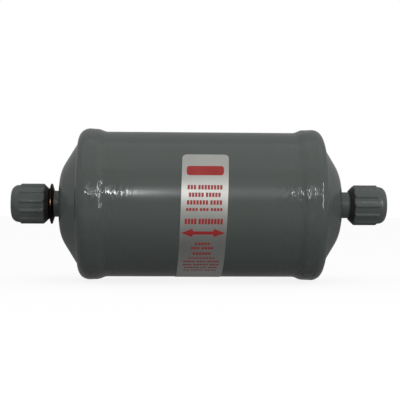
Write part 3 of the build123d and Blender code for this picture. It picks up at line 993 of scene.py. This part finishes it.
film = bmesh.new()
film_stations = round_ended(0, LABEL_LENGTH, LABEL_WIDTH / 2, LABEL_CORNER, LABEL_STEP)
add_plate(film, film_stations, (0, 0), LABEL_GLUE, LABEL_GLUE + LABEL_FILM, True)
label = finish_mesh("label_sheet", film, "root", ["label"], label_film)
run_tree(label, WRAP_TREE, {**WRAP_VALUES, "Material": label_film})

# Print on the label: red ink, a hair thick, printed on the film while it was flat. It is a
# heading bar, rows of plain dashes, and an arrow with a head at each end, because the drier may
# be fitted either way round.
HEADING_HALF_LENGTH = 9.3 * MM
HEADING_HALF_HEIGHT = 2.6 * MM
HEADING_CORNER = 1.4 * MM
HEADING_DOWN = 9.9 * MM
HEADING_STEP = 1.5 * MM
ARROW_HALF_LENGTH = 10.9 * MM
ARROW_HEAD_LENGTH = 5.4 * MM
ARROW_HEAD_HALF = 2.2 * MM
ARROW_HEAD_BACK = 0.6 * MM
ARROW_SHAFT_HALF = 0.85 * MM
ARROW_TIP_HALF = 0.02 * MM
ARROW_DOWN = 41.9 * MM
DASH = 1.15 * MM
DASH_GAP = 0.4 * MM
GROUP_GAP = 1.1 * MM

# Each row: how far down the label and how tall, in millimetres, and the dashes in each group.
DASH_ROWS = (
    (18.8, 2.3, (3, 8)),
    (22.6, 2.2, (5, 5)),
    (26.4, 2.2, (7, 4)),
    (29.9, 1.4, (4, 3, 4)),
    (35.9, 2.8, (4, 8)),
    (48.0, 1.3, (5,)),
    (50.6, 1.3, (3, 4)),
    (54.2, 1.5, (6,)),
    (57.4, 0.8, (9,)),
    (60.0, 1.1, (4, 3, 4)),
    (62.8, 1.1, (3, 5, 3)),
    (65.5, 1.0, (5, 2, 3)),
    (68.4, 1.0, (2, 4, 4)),
)

ink_low = LABEL_GLUE + LABEL_FILM
ink_high = ink_low + INK_THICKNESS
print_mesh = bmesh.new()
heading_stations = round_ended(
    -HEADING_HALF_LENGTH, HEADING_HALF_LENGTH, HEADING_HALF_HEIGHT, HEADING_CORNER, HEADING_STEP
)
add_plate(print_mesh, heading_stations, (0, HEADING_DOWN), ink_low, ink_high, False)
head = ARROW_HALF_LENGTH - ARROW_HEAD_LENGTH
arrow_half = [
    (ARROW_HALF_LENGTH, ARROW_TIP_HALF),
    (ARROW_HALF_LENGTH - ARROW_HEAD_LENGTH / 2, ARROW_HEAD_HALF / 2),
    (head, ARROW_HEAD_HALF),
    (head - ARROW_HEAD_BACK, ARROW_SHAFT_HALF),
    (head / 2, ARROW_SHAFT_HALF),
]
arrow_stations = [(-place, half) for place, half in arrow_half] + arrow_half[::-1]
add_plate(print_mesh, arrow_stations, (0, ARROW_DOWN), ink_low, ink_high, False)
label_print = finish_mesh("label_arrow_print", print_mesh, "root", [], red_ink)
run_tree(label_print, WRAP_TREE, {**WRAP_VALUES, "Material": red_ink})


def dash_tree():
    """Sets a thin inked block on each point, as long and tall as the point's own size."""
    tree, source, realize = geometry_tree("print_dashes", [("Material", "Material")])
    block = tree.nodes.new("GeometryNodeMeshCube")
    block.inputs["Vertices X"].default_value = 3
    block.inputs["Vertices Y"].default_value = 5
    size = tree.nodes.new("GeometryNodeInputNamedAttribute")
    size.data_type = "FLOAT_VECTOR"
    size.inputs["Name"].default_value = "dash_size"
    place = tree.nodes.new("GeometryNodeInstanceOnPoints")
    link(tree, source, "Geometry", place, "Points")
    link(tree, block, "Mesh", place, "Instance")
    link(tree, size, "Attribute", place, "Scale")
    link(tree, place, "Instances", realize, "Geometry")
    return tree


dash_points = []
dash_sizes = []
pitch = DASH + DASH_GAP
for down, tall, groups in DASH_ROWS:
    width = sum(groups) * pitch - len(groups) * DASH_GAP + (len(groups) - 1) * GROUP_GAP
    start = -width / 2
    for count in groups:
        for k in range(count):
            dash_points.append((start + k * pitch + DASH / 2, down * MM, (ink_low + ink_high) / 2))
            dash_sizes.append((DASH, tall * MM, INK_THICKNESS))
        start += count * pitch - DASH_GAP + GROUP_GAP
dash_data = bpy.data.meshes.new("label_dash_print")
dash_data.from_pydata(dash_points, [], [])
sizes = dash_data.attributes.new("dash_size", "FLOAT_VECTOR", "POINT")
sizes.data.foreach_set("vector", [value for size in dash_sizes for value in size])
dashes = bpy.data.objects.new("label_dash_print", dash_data)
bpy.context.scene.collection.objects.link(dashes)
run_tree(dashes, dash_tree(), {"Material": red_ink})
run_tree(dashes, WRAP_TREE, {**WRAP_VALUES, "Material": red_ink})
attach(dashes, "root")

# Desiccant core: beads of drying agent bonded and baked into one pale, rough, crumbly block with
# a bore for the flow. It is clamped between the two fibre pads.
core_block = surface_material(
    "core_block", ((0.50, 0.45, 0.37), (0.68, 0.63, 0.54)), (0.85, 0.95), mottle=8 * MM,
    grain=1.2 * MM, bump=0.25 * MM,
)

# Fibre pads: discs cut from pressed glass fibre, one at each end of the core. They are squeezed
# against it, seal its ends and hold back its dust.
fibre_pad = surface_material(
    "fibre_pad", ((0.62, 0.61, 0.52), (0.78, 0.77, 0.70)), (0.85, 0.95), mottle=3 * MM,
    grain=0.3 * MM, bump=0.12 * MM,
)

# Wire screens: discs punched from close-woven stainless wire cloth, one outside each pad. They
# hold back what the pads let through, and the same squeeze keeps them in place.
wire_cloth = surface_material(
    "wire_cloth", ((0.25, 0.25, 0.25), (0.55, 0.55, 0.54)), (0.3, 0.45), mottle=0.5 * MM,
    grain=0.3 * MM, bump=0.1 * MM, metallic=1.0,
)

# Valve plates, keepers and cages: pressed from steel strip and plated with dull zinc. The keepers
# and the cages are spot-welded to their plates.
pressed_steel = surface_material(
    "pressed_steel", ((0.42, 0.41, 0.38), (0.55, 0.54, 0.52)), (0.28, 0.42), mottle=7 * MM,
    grain=0.4 * MM, bump=0.006 * MM, metallic=1.0,
)

# Inlet rings and outlet discs: punched from stainless strip and ground flat. They lie loose on
# their seats, and the flow lifts them by a millimetre or two.
valve_steel = surface_material(
    "valve_steel", ((0.55, 0.55, 0.55), (0.66, 0.66, 0.66)), (0.16, 0.26), mottle=9 * MM,
    grain=0.2 * MM, bump=0.002 * MM, metallic=1.0,
)

# Core spring: one ring of fingers pressed from spring steel and blued in its heat treatment. It
# sits between the right plate and the right end cap, and presses the whole stack together.
spring_steel = surface_material(
    "spring_steel", ((0.09, 0.10, 0.14), (0.17, 0.17, 0.19)), (0.25, 0.38), mottle=5 * MM,
    grain=0.3 * MM, bump=0.003 * MM, metallic=1.0,
)
hidden_finish = {
    "desiccant_core": core_block,
    "core_pad": fibre_pad,
    "outlet_screen": wire_cloth,
    "valve_plate": pressed_steel,
    "ring_keeper": pressed_steel,
    "valve_cage": pressed_steel,
    "inlet_valve_ring": valve_steel,
    "outlet_valve_disc": valve_steel,
    "core_spring": spring_steel,
}
for node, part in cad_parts.items():
    kind = node.removeprefix("left_").removeprefix("right_")
    if kind in hidden_finish:
        part.data.materials.clear()
        part.data.materials.append(hidden_finish[kind])
